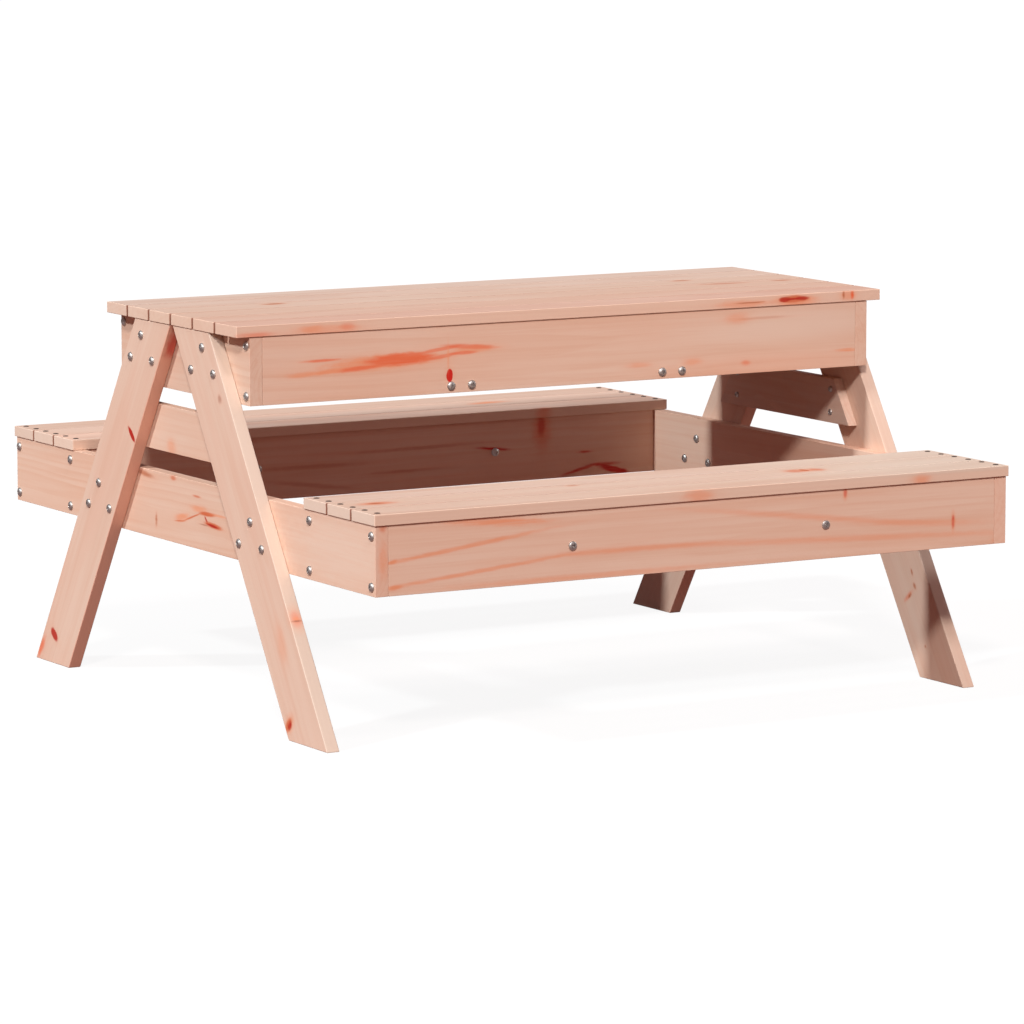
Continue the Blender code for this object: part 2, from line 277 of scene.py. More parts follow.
def make_mark_group():
    """One mark: an ellipsoid in the board, with an edge that can be soft and ragged."""
    nodes, given, result = new_group(
        "wood_mark",
        ("Place", "Ripple", "Middle", "Half Size"),
        ("Strands", "Turn", "Soft", "Ragged", "Streaky"),
        ("Ink", "Halo", "Push"),
    )
    way = nodes.vector("SUBTRACT", given["Place"], given["Middle"])
    turned = nodes.call(
        "VectorRotate",
        {"Vector": way, "Angle": given["Turn"], "Axis": (0.0, 0.0, 1.0)},
        rotation_type="AXIS_ANGLE",
    )
    scaled = nodes.vector("DIVIDE", turned, given["Half Size"])
    ripple = {"Vector": given["Ripple"], "Scale": given["Ragged"]}
    ragged = nodes.call("VectorMath", ripple, operation="SCALE")
    distance = nodes.vector("LENGTH", nodes.vector("ADD", scaled, ragged), output=1)
    inner = nodes.math("SUBTRACT", 1.0, given["Soft"])
    outer = nodes.math("ADD", 1.0, given["Soft"])
    ink = nodes.ramp(distance, inner, outer, 1.0, 0.0)
    kept = nodes.math("SUBTRACT", 1.0, given["Streaky"])
    strands = nodes.math("MULTIPLY_ADD", given["Strands"], given["Streaky"], kept)
    nodes.join(nodes.math("MULTIPLY", ink, strands), result["Ink"])
    nodes.join(nodes.ramp(distance, HALO_START, HALO_END, 1.0, 0.0), result["Halo"])
    push = nodes.ramp(distance, 0.0, PUSH_END, 1.0, 0.0)
    nodes.join(nodes.math("POWER", push, PUSH_CURVE), result["Push"])
    return nodes.tree


RING_GRAIN = make_ring_group()
WOOD_MARK = make_mark_group()

# How each stock of wood looks: pale early wood, darker late wood, the tone of its patches, and how
# much its rings, streaks and patches show
Stock = namedtuple("Stock", "pale late patch rings streaks patches")
STOCKS = {
    "slat_wood": Stock((0.69, 0.54, 0.44), (0.61, 0.39, 0.29), (0.66, 0.475, 0.365), 0.45, 0.5, 0.6),
    "board_wood": Stock((0.77, 0.565, 0.445), (0.69, 0.4, 0.27), (0.75, 0.5, 0.375), 0.4, 0.35, 0.7),
    "leg_wood": Stock((0.76, 0.565, 0.45), (0.68, 0.42, 0.3), (0.74, 0.49, 0.375), 0.25, 0.3, 0.8),
    "plywood": Stock((0.74, 0.55, 0.4), (0.6, 0.4, 0.26), (0.7, 0.5, 0.35), 0.6, 0.3, 0.5),
}

# Factors that turn the colours of a board's stock into its own; the back seat's first two slats are
# lightened as painted light
TONES = {
    "lid_slat_1": (1.0, 0.9, 0.89),
    "lid_slat_2": (1.0, 0.93, 0.91),
    "lid_slat_3": (1.0, 0.97, 0.96),
    "lid_slat_5": (1.0, 1.02, 1.04),
    "lid_slat_6": (0.99, 1.04, 1.08),
    "front_seat_slat_1": (1.01, 1.04, 1.07),
    "front_seat_slat_2": (1.01, 1.02, 1.03),
    # painted light: these two slats are lightened to cancel the lid's shadow that falls on them
    "back_seat_slat_1": (1.22, 1.18, 1.18),
    "back_seat_slat_2": (1.08, 1.08, 1.09),
    "front_seat_outer_board": (1.03, 1.03, 1.02),
    "back_seat_inner_board": (1.08, 1.08, 1.1),
    "seat_end_board_right": (1.06, 1.03, 1.02),
    "leg_brace_right": (0.92, 0.96, 1.0),
    "sandbox_end_board_left": (0.95, 0.95, 0.95),
}

# Knots, streaks and tints. A mark has its place on the object, its half size along the grain, across
# it and into the board, its turn from the grain, its ink and the ink's strength, how soft and how
# ragged its edge is, how much the strands of the grain show in it, how far it pushes the growth
# rings, and the strength of its halo
Mark = namedtuple("Mark", "at half turn ink strength soft ragged streaky push halo")
INKS = {
    "red": (0.6, 0.02, 0.012),
    "maroon": (0.46, 0.024, 0.013),
    "flame": (0.78, 0.16, 0.065),
    "ember": (0.63, 0.155, 0.065),
    "orange": (0.8, 0.32, 0.17),
    "rust": (0.46, 0.13, 0.05),
    "brown": (0.36, 0.14, 0.09),
    # painted shade for the slats' gaps
    "gap": (0.3, 0.12, 0.075),
    # painted light for the slats' open edges and the lid slats' ends
    "warm": (0.81, 0.595, 0.46),
    # painted shade for the back legs' shaded lower edges
    "ruddy": (0.88, 0.45, 0.32),
    # pale is also painted light on the seat slats' ends and on the front of the left seat end board
    "pale": (0.77, 0.62, 0.51),
    "cream": (0.7, 0.63, 0.53),
    # painted light for the front legs' lit upper edges
    "bleached": (0.635, 0.54, 0.45),
}


def knot(at, half, ink, strength=0.9, halo=0.4, soft=0.25, turn=0.0):
    """A branch's end, which the growth rings bend around."""
    return Mark(at, half, turn, ink, strength, soft, ragged=0.35, streaky=0.0, push=0.003, halo=halo)


def streak(at, half, ink, strength=0.8, streaky=0.5, turn=0.0, soft=0.6, ragged=0.9):
    """A resin streak along the grain."""
    return Mark(at, half, turn, ink, strength, soft, ragged, streaky, push=0.0, halo=0.12)


def spot(at, half, ink, strength=0.6, turn=0.0):
    """A small or faint mark."""
    return Mark(at, half, turn, ink, strength, soft=0.7, ragged=0.8, streaky=0.2, push=0.0, halo=0.15)


def tint(at, half, ink, strength=0.7, soft=0.2):
    """A plain tint without a ragged edge."""
    return Mark(at, half, 0.0, ink, strength, soft, ragged=0.0, streaky=0.0, push=0.0, halo=0.0)


# Tints of narrow faces, which are painted light and shade: how deep they reach into the board, and each
# one's ink and strength
EDGE_TINT_DEPTH = 0.0012
GAP_TINT_DEPTH = 0.0009
GAP_END_REACH = 0.004  # along the gap, from the slat's end
ALL_OVER = 2.0  # more than a board's length
ALL_THROUGH = 0.05  # more than a board's thickness
# painted shade in the slats' gaps: faint along them, strong near the slats' ends
GAP_SHADE = ("gap", 0.25)
GAP_END_SHADE = ("gap", 0.85)
# painted light: the slats' open edges and their ends are lightened
OPEN_EDGE_LIGHT = ("warm", 0.7)
SLAT_END_LIGHT = {"lid": ("warm", 0.5), "front": ("pale", 0.7), "back": ("pale", 0.7)}
# painted light on the front legs' lit upper edges, redder painted shade on the back legs' shaded lower
# edges
LEG_EDGE_LIGHT_AND_SHADE = {
    "leg_left_front": ("bleached", 0.7),
    "leg_left_back": ("ruddy", 0.6),
    "leg_right_front": ("bleached", 0.3),
    "leg_right_back": ("ruddy", 0.3),
}


def edge_tint(edge, depth, look):
    """A tint along a whole edge of a board, that far from the board's middle."""
    return tint((0.0, edge, 0.0), (ALL_OVER, depth, ALL_THROUGH), *look)


def painted_edge_light_and_shade(node, stock, lengths):
    """Painted light and shade on the narrow faces of slats and legs: painted shade in the slats' gaps,
    paler painted light on their ends and open edges and on the front legs' upper edges, and redder
    painted shade on the back legs' lower edges.
    """
    length, width, _ = lengths
    if stock == "leg_wood":
        # painted light on a front leg's upper edge, redder painted shade on a back leg's lower edge
        return [edge_tint(-width / 2, EDGE_TINT_DEPTH, LEG_EDGE_LIGHT_AND_SHADE[node])]
    if stock != "slat_wood":
        return []
    ends = (-length / 2, length / 2)
    half = (EDGE_TINT_DEPTH, ALL_OVER, ALL_THROUGH)
    # painted light on both ends of the slat
    tints = [tint((end, 0.0, 0.0), half, *SLAT_END_LIGHT[node.split("_")[0]]) for end in ends]
    row, number = node[:-1], int(node[-1])
    outward = -1 if node.startswith("front") else 1
    for side in (-1, 1):
        edge = side * width / 2
        if f"{row}{number + side * outward}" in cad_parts:
            # painted shade on the slat's side and rounded edge along the gap, darker near the ends
            tints.append(edge_tint(edge, GAP_TINT_DEPTH, GAP_SHADE))
            half = (GAP_END_REACH, GAP_TINT_DEPTH, ALL_THROUGH)
            tints += [tint((end, edge, 0.0), half, *GAP_END_SHADE) for end in ends]
        else:
            # painted light on an open edge
            tints.append(edge_tint(edge, EDGE_TINT_DEPTH, OPEN_EDGE_LIGHT))
    return tints


# Faces with marks: the axis that each one is across, and its place on it
X, Y, Z = 0, 1, 2
Face = namedtuple("Face", "axis place")
SEAT_FRONT = Face(Y, -0.5145)
SANDBOX_FRONT = Face(Y, -0.1843)
LID_FRONT = Face(Y, -0.1865)
SEAT_SLAT_FRONT = Face(Y, -0.5173)
BACK_SLAT_FRONT = Face(Y, 0.3318)
BACK_SEAT_INSIDE = Face(Y, 0.335)
LID_TOP = Face(Z, 0.5105)
SEAT_TOP = Face(Z, 0.3085)
LEFT_END = Face(X, -0.469)
LEFT_LEGS = Face(X, -0.4873)
LEFT_LEG_SIDES = Face(X, -0.475)
LEFT_LEG_EDGES = Face(X, -0.478)
RIGHT_LEGS = Face(X, 0.4693)

MARKS = defaultdict(list)


def mark_face(board, face, marks):
    """Puts marks on a face of a board. Their places are given on the two other axes."""
    for mark in marks:
        at = (*mark.at[:face.axis], face.place, *mark.at[face.axis:])
        MARKS[board].append(mark._replace(at=at))


# The marks that the photograph shows
mark_face("sandbox_front_board", SANDBOX_FRONT, [
    streak((-0.279, 0.4536), (0.078, 0.0088, 0.006), "orange", 0.9, 0.25, 0.03, 0.5, 0.7),
    streak((-0.25, 0.4557), (0.05, 0.0074, 0.006), "flame", 0.95, 0.1, 0.03, 0.35, 0.6),
    streak((-0.313, 0.4472), (0.028, 0.0028, 0.006), "flame", 0.9, 0.1, 0.05),
    streak((-0.365, 0.4606), (0.024, 0.0017, 0.004), "flame", 0.8, 0.1, 0.02),
    streak((-0.357, 0.4456), (0.026, 0.0028, 0.004), "orange", 0.9, 0.2, 0.08),
    streak((-0.396, 0.4437), (0.018, 0.0032, 0.004), "orange", 0.6, 0.2, 0.04),
    streak((-0.144, 0.4636), (0.03, 0.0042, 0.004), "orange", 0.75, 0.1, 0.02),
    streak((-0.192, 0.4656), (0.03, 0.0023, 0.004), "flame", 0.65, 0.05, 0.11, 0.4, 0.5),
    streak((-0.15, 0.467), (0.038, 0.003, 0.004), "flame", 0.6, 0.1, -0.07, 0.4, 0.5),
    streak((-0.189, 0.456), (0.022, 0.0023, 0.004), "flame", 0.6, 0.05, 0.14, 0.4, 0.5),
    streak((-0.158, 0.4592), (0.02, 0.0022, 0.004), "flame", 0.65, 0.05, 0.02, 0.4, 0.5),
    knot((-0.178, 0.4311), (0.0047, 0.0086, 0.006), "red", 1.0, 0.2, 0.12),
    spot((-0.18, 0.455), (0.0012, 0.014, 0.003), "orange", 0.4),
    tint((0.3, 0.417), (0.16, 0.016, 0.006), "orange", 0.22, 0.7),
    tint((0.36, 0.47), (0.14, 0.02, 0.006), "pale", 0.6, 0.7),
    spot((0.262, 0.482), (0.016, 0.006, 0.003), "orange", 0.45),
    streak((0.3, 0.481), (0.04, 0.0016, 0.003), "rust", 0.25),
    spot((0.276, 0.422), (0.006, 0.003, 0.003), "flame", 0.5),
    streak((0.438, 0.4305), (0.014, 0.0022, 0.003), "orange"),
    spot((0.192, 0.428), (0.012, 0.004, 0.003), "orange", 0.5),
    spot((0.109, 0.428), (0.016, 0.003, 0.003), "orange", 0.5),
])
mark_face("lid_slat_1", LID_FRONT, [
    streak((-0.358, 0.5), (0.043, 0.006, 0.0055), "orange", 0.5, 0.2),
    spot((-0.381, 0.502), (0.014, 0.006, 0.004), "orange"),
    spot((-0.33, 0.5025), (0.009, 0.006, 0.004), "flame", 0.4),
    spot((-0.462, 0.4985), (0.024, 0.006, 0.003), "flame", 0.5),
    streak((0.27, 0.501), (0.034, 0.004, 0.0045), "orange", 0.6, 0.2),
    streak((0.282, 0.5025), (0.02, 0.004, 0.001), "rust", 0.7, 0.0),
    streak((0.353, 0.5015), (0.03, 0.004, 0.0055), "orange", 0.9, 0.1),
    streak((0.351, 0.5037), (0.022, 0.004, 0.0045), "ember", 1.0, 0.1, 0.0, 0.3, 0.7),
    streak((0.336, 0.5037), (0.0085, 0.004, 0.0036), "maroon", 0.95, 0.0, 0.0, 0.4, 0.8),
    streak((0.364, 0.5045), (0.0095, 0.004, 0.0026), "maroon", 0.9, 0.0, 0.0, 0.4, 0.8),
    streak((0.35, 0.504), (0.016, 0.004, 0.0015), "maroon", 0.9, 0.0),
    spot((0.437, 0.5045), (0.011, 0.004, 0.0055), "orange"),
    spot((0.43, 0.5055), (0.0017, 0.003, 0.0045), "rust", 0.8),
    spot((0.444, 0.505), (0.0023, 0.003, 0.005), "flame", 1.0),
])
mark_face("lid_slat_3", LID_TOP, [
    streak((0.347, -0.016), (0.03, 0.007, 0.004), "rust", 0.6, 0.2, -0.06),
    streak((0.44, -0.016), (0.013, 0.006, 0.004), "rust", 0.7, 0.1),
])
mark_face("lid_slat_4", LID_TOP, [
    spot((-0.313, 0.046), (0.015, 0.006, 0.004), "rust", 1.0),
    spot((0.318, 0.048), (0.012, 0.005, 0.004), "rust", 0.9),
])
for number, middle in ((1, -0.359), (2, -0.424), (3, -0.489)):
    paler_end = tint((0.42, middle), (0.2, ALL_OVER, 0.004), "cream", 0.45, 0.7)
    mark_face(f"front_seat_slat_{number}", SEAT_TOP, [paler_end])
mark_face("front_seat_slat_2", SEAT_TOP, [
    streak((-0.417, -0.424), (0.022, 0.0095, 0.004), "ember", 0.75, 0.2, 0.0, 0.7, 0.6),
    streak((-0.419, -0.424), (0.0095, 0.0042, 0.004), "rust", 0.9, 0.0),
    knot((0.214, -0.424), (0.005, 0.0095, 0.006), "rust", 1.0, 0.3),
    streak((0.199, -0.424), (0.014, 0.012, 0.006), "ember", 0.7, 0.2),
    streak((0.23, -0.427), (0.012, 0.011, 0.006), "ember", 0.7, 0.2),
    spot((-0.123, -0.403), (0.0075, 0.0045, 0.004), "rust"),
])
mark_face("front_seat_slat_3", SEAT_SLAT_FRONT, [
    spot((-0.005, 0.3012), (0.019, 0.004, 0.0065), "orange", 0.7),
    spot((0.334, 0.299), (0.012, 0.004, 0.0055), "orange", 0.7),
])
mark_face("back_seat_slat_2", SEAT_TOP, [
    streak((0.229, 0.426), (0.028, 0.009, 0.004), "orange", 0.9, 0.3, 0.09),
])
mark_face("front_seat_outer_board", SEAT_FRONT, [
    streak((-0.297, 0.288), (0.062, 0.0045, 0.006), "orange", 0.85, 0.4, -0.06),
    knot((0.218, 0.289), (0.0023, 0.0052, 0.004), "red", 0.5, 0.6, 0.5),
    knot((0.386, 0.2405), (0.0021, 0.0076, 0.004), "red", 0.7, 0.6, 0.5),
    spot((0.462, 0.212), (0.01, 0.008, 0.004), "orange", 0.8),
    streak((-0.445, 0.2485), (0.006, 0.0021, 0.004), "orange", 0.9, 0.0, 0.24),
    streak((-0.441, 0.2164), (0.008, 0.0026, 0.004), "orange", 0.9, 0.0, 0.14),
    streak((-0.352, 0.259), (0.115, 0.0026, 0.004), "orange", 0.75, 0.2, 0.12),
    streak((-0.33, 0.2275), (0.135, 0.0024, 0.004), "orange", 0.7, 0.2, 0.09),
    streak((-0.105, 0.2395), (0.115, 0.0028, 0.004), "orange", 0.55, 0.2, 0.0, 0.8),
    streak((-0.16, 0.2105), (0.16, 0.0028, 0.004), "orange", 0.5, 0.2, 0.0, 0.8),
    streak((0.215, 0.23), (0.23, 0.0032, 0.004), "orange", 0.45, 0.2, -0.036, 0.9),
    streak((0.16, 0.2625), (0.14, 0.0032, 0.004), "orange", 0.45, 0.2, -0.12, 0.9),
    streak((0.34, 0.2425), (0.07, 0.0032, 0.004), "orange", 0.45, 0.2, -0.06, 0.9),
])
mark_face("back_seat_inner_board", BACK_SEAT_INSIDE, [
    streak((-0.105, 0.2483), (0.0726, 0.0028, 0.006), "rust", 0.35, 0.2, -0.01),
    streak((-0.106, 0.2225), (0.055, 0.0028, 0.006), "rust", 0.35, 0.2, -0.13),
    streak((0.056, 0.2325), (0.0607, 0.0021, 0.006), "rust", 0.4, 0.2),
    streak((0.066, 0.2635), (0.0979, 0.0021, 0.006), "rust", 0.4, 0.2, 0.01),
    streak((0.106, 0.229), (0.0714, 0.0057, 0.006), "pale", 0.4, 0.2, 0.04),
    spot((0.265, 0.277), (0.012, 0.025, 0.008), "flame", 0.55),
    knot((0.264, 0.282), (0.0058, 0.0125, 0.008), "red", 0.65, 0.3, 0.6),
    streak((0.329, 0.2166), (0.028, 0.0022, 0.006), "red", 0.85, 0.1, 0.22),
    streak((0.368, 0.2217), (0.022, 0.0023, 0.006), "red", 0.8, 0.1),
    streak((0.384, 0.2131), (0.028, 0.0042, 0.006), "red", 1.0, 0.1, -0.25, 0.4),
    spot((0.337, 0.2412), (0.01, 0.0015, 0.004), "red", 0.8),
    streak((0.186, 0.2549), (0.026, 0.002, 0.006), "red", 0.95, 0.1, -0.1),
])
mark_face("back_seat_slat_1", BACK_SLAT_FRONT, [
    spot((0.266, 0.3015), (0.011, 0.004, 0.008), "flame", 0.5),
])
mark_face("seat_end_board_left", LEFT_END, [
    # painted light: a pale patch over the front part of the board stands for pale bounced light
    spot((-0.42, 0.25), (0.13, 0.05, 0.01), "pale"),
    spot((0.119, 0.2878), (0.023, 0.0031, 0.006), "rust", 0.75, 0.08),
    spot((0.035, 0.2911), (0.0065, 0.0028, 0.004), "ember", 0.8),
    spot((-0.032, 0.2747), (0.009, 0.0014, 0.004), "ember", 0.8),
    streak((0.016, 0.237), (0.013, 0.0011, 0.004), "ember", 0.9, 0.0, -0.1),
    streak((-0.017, 0.2455), (0.026, 0.0011, 0.004), "ember", 0.9, 0.0, -0.3),
    streak((0.011, 0.2429), (0.018, 0.0042, 0.004), "orange", 0.8, 0.1, -0.18),
    streak((-0.039, 0.259), (0.021, 0.004, 0.005), "orange", 0.7, 0.1),
    streak((-0.062, 0.2549), (0.022, 0.0027, 0.005), "ember", 1.0, 0.0, -0.04, 0.4, 0.5),
    streak((-0.096, 0.2564), (0.021, 0.0015, 0.005), "orange", 0.7, 0.1),
    streak((-0.06, 0.2466), (0.007, 0.0017, 0.005), "maroon", 0.9, 0.0, 0.75, 0.4),
    streak((-0.079, 0.2418), (0.024, 0.0034, 0.005), "ember", 1.0, 0.1, 0.06, 0.4, 0.6),
    streak((-0.077, 0.2414), (0.016, 0.0017, 0.005), "maroon", 1.0, 0.0, 0.06, 0.4, 0.6),
    spot((-0.053, 0.24), (0.0115, 0.0009, 0.004), "brown", 0.7),
    spot((0.085, 0.2304), (0.0026, 0.0074, 0.004), "rust", 0.7),
])
mark_face("seat_end_board_left", SEAT_FRONT, [
    spot((-0.458, 0.2908), (0.003, 0.004, 0.004), "ember"),
    spot((-0.458, 0.251), (0.003, 0.017, 0.006), "orange", 0.5),
])
mark_face("leg_brace_left", LEFT_END, [
    spot((0.039, 0.3315), (0.01, 0.0085, 0.006), "orange", 0.5, 0.3),
])
mark_face("leg_left_back", LEFT_LEGS, [
    knot((0.119, 0.3404), (0.0042, 0.013, 0.008), "maroon", 1.0, 0.15, 0.2, -0.2),
    knot((0.363, 0.0402), (0.0065, 0.0115, 0.008), "maroon", 0.95, 0.15, 0.25, -0.05),
    streak((0.404, 0.0176), (0.017, 0.005, 0.008), "flame", 0.8, 0.1, -0.1),
])
mark_face("leg_left_back", LEFT_LEG_SIDES, [
    streak((0.021, 0.466), (0.02, 0.006, 0.008), "red", 0.75, 0.1),
])
mark_face("leg_left_front", LEFT_LEGS, [
    knot((-0.32, 0.0198), (0.0058, 0.0112, 0.008), "ember", 0.95, 0.5, 0.4, 0.3),
    spot((-0.323, 0.0195), (0.004, 0.006, 0.008), "maroon", 1.0, 0.3),
])
mark_face("leg_left_front", LEFT_LEG_EDGES, [
    knot((-0.3275, 0.157), (0.011, 0.0085, 0.008), "flame", 0.45, 0.3, 0.5),
    knot((-0.3275, 0.157), (0.005, 0.0055, 0.008), "orange", 0.8, 0.0),
    spot((-0.329, 0.1545), (0.0014, 0.008, 0.008), "brown", 0.9),
])
mark_face("leg_left_front", LEFT_LEGS, [
    spot((-0.302, 0.12), (0.02, 0.009, 0.006), "orange", 0.3, -0.22),
    spot((-0.136, 0.413), (0.005, 0.004, 0.004), "brown"),
])
mark_face("leg_right_front", RIGHT_LEGS, [
    spot((-0.298, 0.1395), (0.0044, 0.0018, 0.004), "rust", 0.8, -0.13),
    spot((-0.305, 0.1217), (0.0044, 0.0024, 0.004), "rust", 0.8, 0.07),
    spot((-0.291, 0.1064), (0.003, 0.01, 0.004), "flame", 0.6, 0.16),
    spot((-0.294, 0.107), (0.002, 0.004, 0.004), "rust", 0.9, 0.16),
    spot((-0.332, 0.0433), (0.002, 0.0016, 0.004), "rust", 0.7, -0.1),
])


def toned(stock, tone):
    """The stock's look with its three colours multiplied by the tone."""
    colours = [tuple(part * by for part, by in zip(colour, tone)) for colour in stock[:3]]
    return Stock(*colours, *stock[3:])


def wood_material(name, stock, marks, pitch):
    """Wood with growth rings that run through the board, fibres, and the board's own marks."""
    material, nodes, shader = new_material(name)
    log_place = nodes.add("Attribute", attribute_name="log_place").outputs["Vector"]
    board_place = nodes.add("Attribute", attribute_name="board_place").outputs["Vector"]

    inked = []
    push = 0.0
    ripple = nodes.wave(board_place, RIPPLES, 2.0)
    strands = nodes.ramp(nodes.noise(board_place, STRANDS), *STRAND_RANGE)
    for mark in marks:
        inputs = {
            "Place": board_place,
            "Ripple": ripple,
            "Strands": strands,
            "Middle": mark.at,
            "Half Size": mark.half,
            "Turn": -mark.turn,
            "Soft": mark.soft,
            "Ragged": mark.ragged,
            "Streaky": mark.streaky,
        }
        out = nodes.add("Group", inputs, node_tree=WOOD_MARK).outputs
        inked.append((mark, out))
        if mark.push:
            push = nodes.math("MULTIPLY_ADD", out["Push"], mark.push, push)

    inputs = {"Place": log_place, "Push": push, "Pitch": pitch}
    grain = nodes.add("Group", inputs, node_tree=RING_GRAIN).outputs
    look = toned(STOCKS[stock], TONES.get(name, WHITE))
    patches = nodes.math("MULTIPLY", nodes.ramp(grain["Tone"], *PATCH_RANGE), look.patches)
    colour = nodes.blend(patches, look.pale, look.patch)
    darker = (
        (nodes.ramp(grain["Streak"], *STREAK_RANGE), look.streaks),
        (grain["Late"], look.rings),
        (nodes.ramp(grain["Fibre"], *FIBRE_RANGE), FIBRE_SHARE),
    )
    for pattern, share in darker:
        colour = nodes.blend(nodes.math("MULTIPLY", pattern, share), colour, look.late)
    for mark, out in inked:
        halo = nodes.math("MULTIPLY", out["Halo"], mark.halo)
        colour = nodes.blend(halo, colour, INKS["orange"])
        ink = nodes.math("MULTIPLY", out["Ink"], mark.strength)
        colour = nodes.blend(ink, colour, INKS[mark.ink])
    nodes.join(colour, shader.inputs["Base Color"])

    shader.inputs["Specular IOR Level"].default_value = SPECULAR
    roughness = nodes.math("MULTIPLY_ADD", grain["Fibre"], FIBRE_ROUGHNESS, ROUGHNESS)
    roughness = nodes.math("MULTIPLY_ADD", grain["Late"], LATE_ROUGHNESS, roughness)
    nodes.join(roughness, shader.inputs["Roughness"])
    height = nodes.math("MULTIPLY_ADD", grain["Late"], LATE_RELIEF, grain["Fibre"])
    relief = {"Strength": RELIEF_STRENGTH, "Distance": RELIEF_HEIGHT, "Height": height}
    nodes.join(nodes.call("Bump", relief), shader.inputs["Normal"])
    return material


MOTTLE_SCALE = 420.0
ZINC_ROUGHNESS = 0.42
MOTTLE_ROUGHNESS = 0.12


def zinc_material(name, dark, bright):
    """Zinc with faint mottling between two tones."""
    material, nodes, shader = new_material(name)
    shader.inputs["Metallic"].default_value = 1.0
    place = nodes.add("TexCoord").outputs["Object"]
    mottle = nodes.noise(place, MOTTLE_SCALE, 3.0, 0.6)
    nodes.join(nodes.blend(mottle, dark, bright), shader.inputs["Base Color"])
    roughness = nodes.math("MULTIPLY_ADD", mottle, MOTTLE_ROUGHNESS, ZINC_ROUGHNESS)
    nodes.join(roughness, shader.inputs["Roughness"])
    return material


ZINC = zinc_material("zinc", (0.42, 0.41, 0.4), (0.62, 0.61, 0.59))
# painted shade: the slat screws' zinc is dark to stand for the shade in the holes they sit in
SHADE_DARK_ZINC = zinc_material("dull_zinc", (0.13, 0.1, 0.09), (0.26, 0.22, 0.2))


def write_places(mesh, name, places):
    """Gives each vertex of the mesh a place that a material can read by name."""
    attribute = mesh.attributes.new(name, "FLOAT_VECTOR", "POINT")
    attribute.data.foreach_set("vector", [number for place in places for number in place])


def mesh_of(shape, name):
    """A new mesh with the shape, which is freed."""
    mesh = bpy.data.meshes.new(name)
    shape.to_mesh(mesh)
    shape.free()
    return mesh


def add_object(name, data):
    """A new object in the scene."""
    thing = bpy.data.objects.new(name, data)
    bpy.context.scene.collection.objects.link(thing)
    return thing


def long_axes(size):
    """The axes along the grain, across it and through a board that is square to them."""
    order = sorted(range(3), key=lambda axis: -size[axis])
    return [Vector([1.0 if axis == wanted else 0.0 for axis in range(3)]) for wanted in order]


# Where a board was cut from its log: the pith's distance across and through the board, how much it
# drifts along the board, and the rings' pitch
Cut = namedtuple("Cut", "across through drift_across drift_through pitch")
CUTS = {
    "front_seat_outer_board": Cut(0.012, -0.045, 0.006, 0.012, 0.011),
    "sandbox_front_board": Cut(-0.01, -0.05, 0.012, -0.01, 0.01),
    "back_seat_inner_board": Cut(0.02, 0.045, -0.01, 0.01, 0.009),
    "seat_end_board_left": Cut(0.015, 0.04, 0.012, -0.012, 0.007),
    "seat_end_board_right": Cut(-0.015, 0.05, 0.008, 0.01, 0.008),
    "sandbox_floor": Cut(0.02, -0.09, 0.02, 0.02, 0.004),
}

# Marks that are made up: how many a board can have, how far from its middle they can be as parts of
# its length and width, and the ranges of their half sizes
STRAY_COUNTS = (0, 1, 2, 2, 3)
STRAY_LENGTH = 0.46
STRAY_WIDTH = 0.4
STRAY_DEPTH = 0.006
KNOT_HALVES = (0.004, 0.009)
STREAK_HALF_LENGTHS = (0.015, 0.05)
STREAK_HALF_WIDTHS = (0.0015, 0.005)


def cut_of(name):
    """Where a board was cut from its log. It is drawn by the board's name if CUTS doesn't have it."""
    if name in CUTS:
        return CUTS[name]
    draw = Random(name)
    side = draw.choice((-1, 1))
    return Cut(
        across=draw.uniform(-0.05, 0.05),
        through=side * draw.uniform(0.05, 0.11),
        drift_across=draw.uniform(-0.012, 0.012),
        drift_through=draw.uniform(-0.012, 0.012),
        pitch=draw.uniform(0.0042, 0.0062),
    )


def stray_marks(name, lengths):
    """Knots and streaks on the face towards +X or +Y, which the photograph doesn't show."""
    draw = Random(name + " marks")
    length, width, thickness = lengths
    marks = []
    for _ in range(draw.choice(STRAY_COUNTS)):
        along = draw.uniform(-STRAY_LENGTH, STRAY_LENGTH) * length
        across = draw.uniform(-STRAY_WIDTH, STRAY_WIDTH) * width
        at = (along, across, thickness / 2)
        if draw.random() < 0.5:
            half = (draw.uniform(*KNOT_HALVES), draw.uniform(*KNOT_HALVES), STRAY_DEPTH)
            marks.append(knot(at, half, draw.choice(("red", "flame", "brown"))))
        else:
            half_length = draw.uniform(*STREAK_HALF_LENGTHS)
            half = (half_length, draw.uniform(*STREAK_HALF_WIDTHS), STRAY_DEPTH)
            marks.append(streak(at, half, draw.choice(("flame", "orange"))))
    return marks


